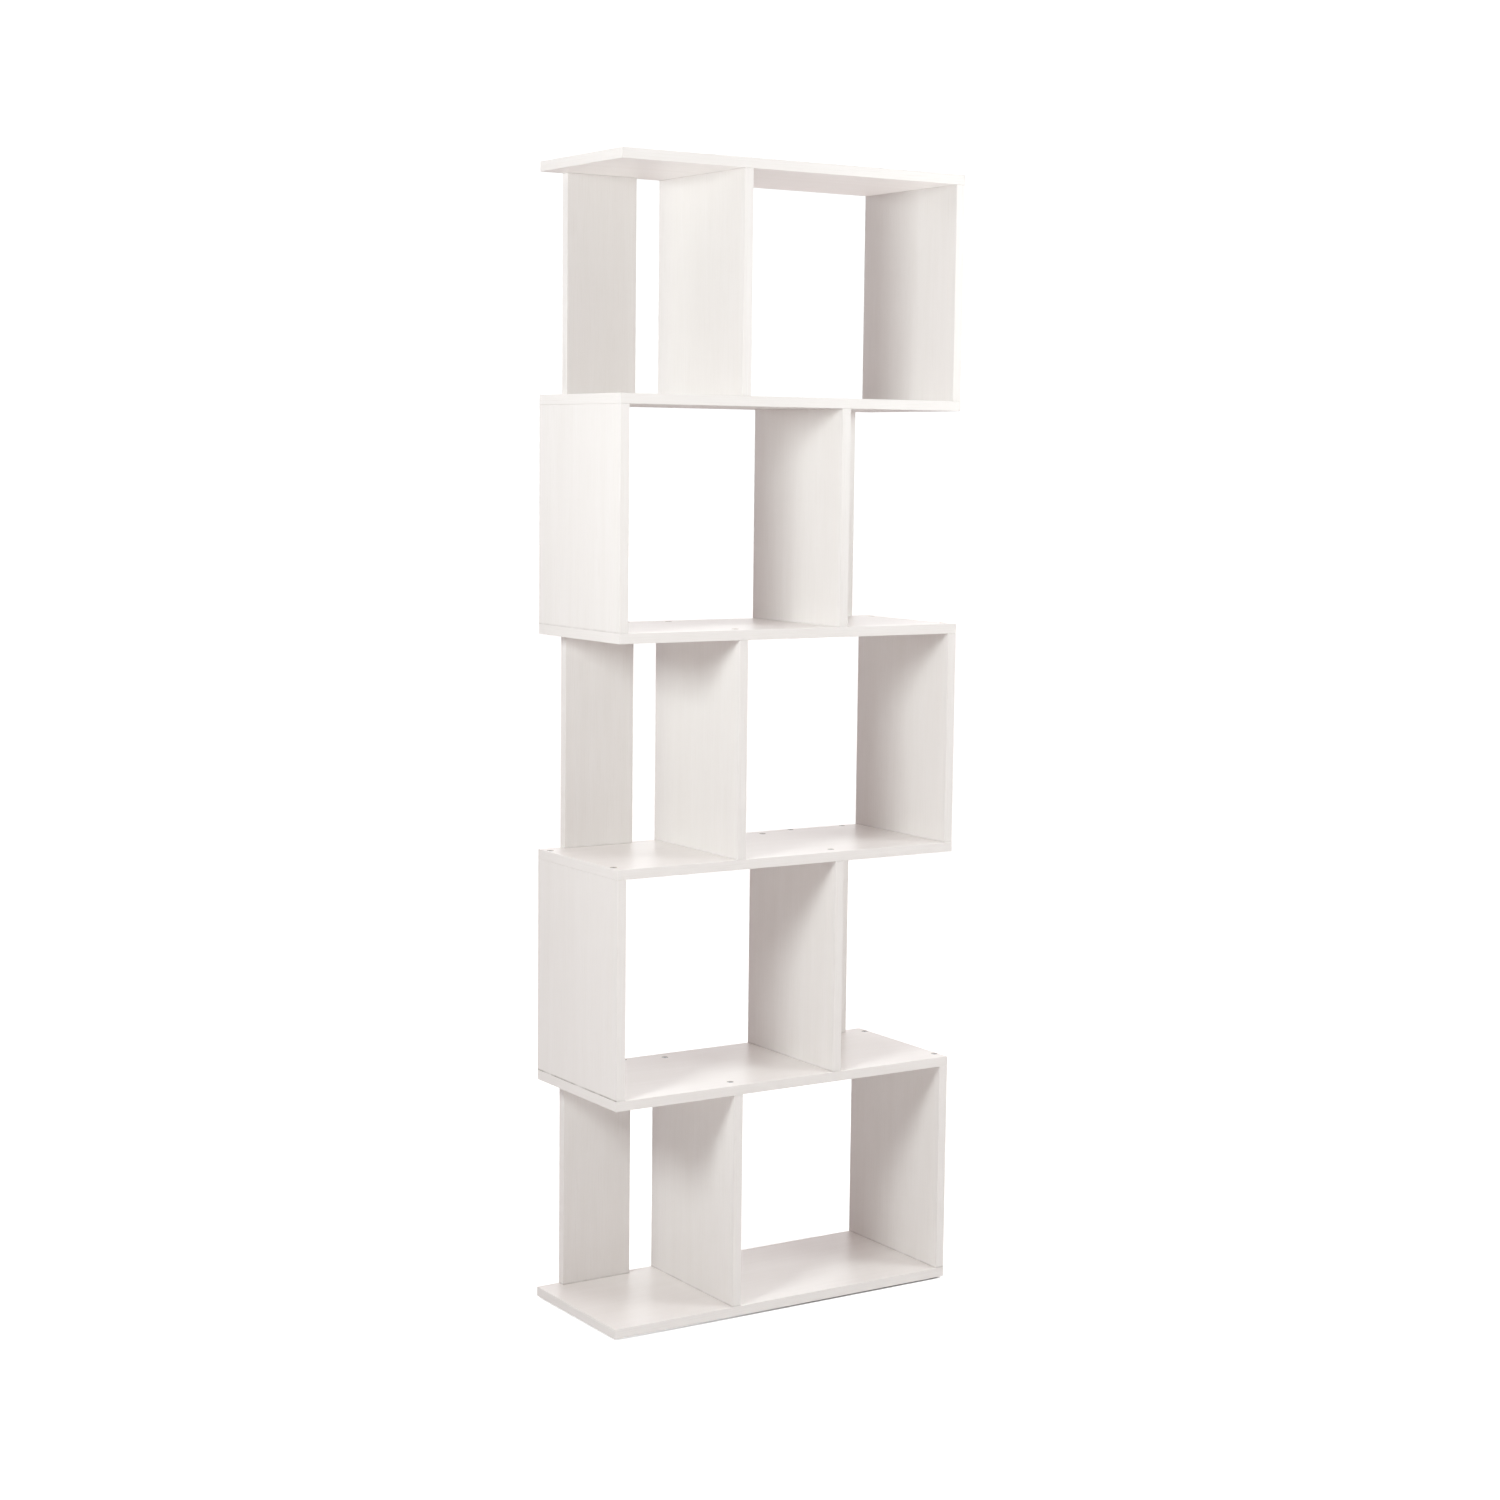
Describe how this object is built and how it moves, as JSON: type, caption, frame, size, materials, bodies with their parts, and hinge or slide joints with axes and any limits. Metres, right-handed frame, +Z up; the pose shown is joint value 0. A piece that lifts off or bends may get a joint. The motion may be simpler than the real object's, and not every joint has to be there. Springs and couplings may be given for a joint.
{
  "type": "shelving unit",
  "caption": "Tall, narrow free-standing shelving unit of white boards. The end panels alternate from side to side, and every shelf is divided and part backed.",
  "frame": {"origin": "on the floor under the middle of the base board", "axes": "+X to the right of someone facing the unit, +Y from its front to its back, +Z up"},
  "size_m": [0.6, 0.24, 1.7183],
  "materials": {
    "white_melamine_board": "white melamine-faced particle board, satin",
    "white_melamine_panel": "white melamine-faced particle board, satin, with a faint upright grain",
    "zinc_plated_steel": "zinc plated, dull",
    "glide_plastic": "moulded white polyethylene, matt"
  },
  "bodies": {
    "root": {"base_board": "white_melamine_board", "shelf_board_1": "white_melamine_board", "shelf_board_2": "white_melamine_board", "shelf_board_3": "white_melamine_board", "shelf_board_4": "white_melamine_board", "top_board": "white_melamine_board", "tier_1_end_panel": "white_melamine_panel", "tier_1_divider": "white_melamine_panel", "tier_1_back_panel": "white_melamine_panel", "tier_2_end_panel": "white_melamine_panel", "tier_2_divider": "white_melamine_panel", "tier_2_back_panel": "white_melamine_panel", "tier_3_end_panel": "white_melamine_panel", "tier_3_divider": "white_melamine_panel", "tier_3_back_panel": "white_melamine_panel", "tier_4_end_panel": "white_melamine_panel", "tier_4_divider": "white_melamine_panel", "tier_4_back_panel": "white_melamine_panel", "tier_5_end_panel": "white_melamine_panel", "tier_5_divider": "white_melamine_panel", "tier_5_back_panel": "white_melamine_panel", "tier_1_end_panel_screw_front": "zinc_plated_steel", "tier_1_end_panel_screw_back": "zinc_plated_steel", "tier_1_divider_screw_front": "zinc_plated_steel", "tier_1_divider_screw_back": "zinc_plated_steel", "tier_1_back_panel_screw_left": "zinc_plated_steel", "tier_1_back_panel_screw_right": "zinc_plated_steel", "tier_2_end_panel_screw_front": "zinc_plated_steel", "tier_2_end_panel_screw_back": "zinc_plated_steel", "tier_2_divider_screw_front": "zinc_plated_steel", "tier_2_divider_screw_back": "zinc_plated_steel", "tier_2_back_panel_screw_left": "zinc_plated_steel", "tier_2_back_panel_screw_right": "zinc_plated_steel", "tier_3_end_panel_screw_front": "zinc_plated_steel", "tier_3_end_panel_screw_back": "zinc_plated_steel", "tier_3_divider_screw_front": "zinc_plated_steel", "tier_3_divider_screw_back": "zinc_plated_steel", "tier_3_back_panel_screw_left": "zinc_plated_steel", "tier_3_back_panel_screw_right": "zinc_plated_steel", "tier_4_end_panel_screw_front": "zinc_plated_steel", "tier_4_end_panel_screw_back": "zinc_plated_steel", "tier_4_divider_screw_front": "zinc_plated_steel", "tier_4_divider_screw_back": "zinc_plated_steel", "tier_4_back_panel_screw_left": "zinc_plated_steel", "tier_4_back_panel_screw_right": "zinc_plated_steel", "tier_5_end_panel_screw_front": "zinc_plated_steel", "tier_5_end_panel_screw_back": "zinc_plated_steel", "tier_5_divider_screw_front": "zinc_plated_steel", "tier_5_divider_screw_back": "zinc_plated_steel", "tier_5_back_panel_screw_left": "zinc_plated_steel", "tier_5_back_panel_screw_right": "zinc_plated_steel", "glide_front_left": "glide_plastic", "glide_front_right": "glide_plastic", "glide_back_left": "glide_plastic", "glide_back_right": "glide_plastic"}
  },
  "joints": []
}
